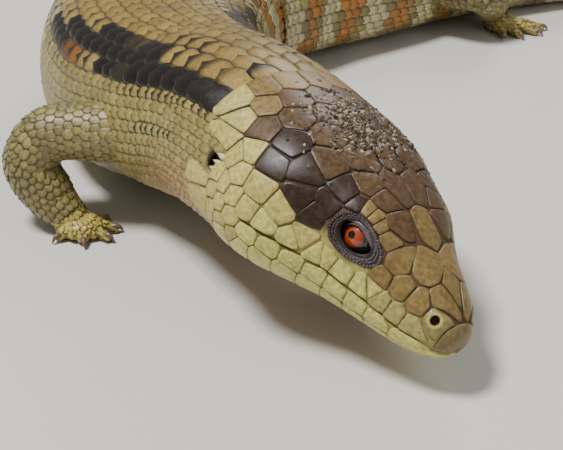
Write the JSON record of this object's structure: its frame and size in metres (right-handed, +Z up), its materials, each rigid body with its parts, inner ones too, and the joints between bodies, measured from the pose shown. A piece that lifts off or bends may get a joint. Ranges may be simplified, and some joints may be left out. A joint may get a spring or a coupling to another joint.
{
  "type": "blue-tongued skink",
  "caption": "Life-size still model of a stout, smooth-scaled lizard with a broad triangular head, bent trunk, short legs and a tapering tail.",
  "frame": {"origin": "on the floor under the middle of the animal's bounding box", "axes": "+X from the bend of the trunk towards the tail's end, -Y towards the snout, +Z up; the soles, the belly and the tail rest on Z = 0"},
  "size_m": [0.3055, 0.2866, 0.0552],
  "materials": {
    "skin": "smooth overlapping scales, satin",
    "crown": "plated head shields, satin",
    "leg": "small overlapping scales, satin",
    "eye": "wet gloss"
  },
  "bodies": {
    "root": {"head": "crown", "eye_left": "eye", "eye_right": "eye", "neck": "skin", "chest": "skin", "belly": "skin", "pelvis": "skin", "tail_base": "skin", "tail_middle": "skin", "tail_tip": "skin", "upper_arm_right": "leg", "forearm_right": "leg", "hand_right": "leg", "upper_arm_left": "leg", "forearm_left": "leg", "hand_left": "leg", "thigh_left": "leg", "shank_left": "leg", "foot_left": "leg", "thigh_right": "leg", "shank_right": "leg", "foot_right": "leg"}
  },
  "joints": []
}
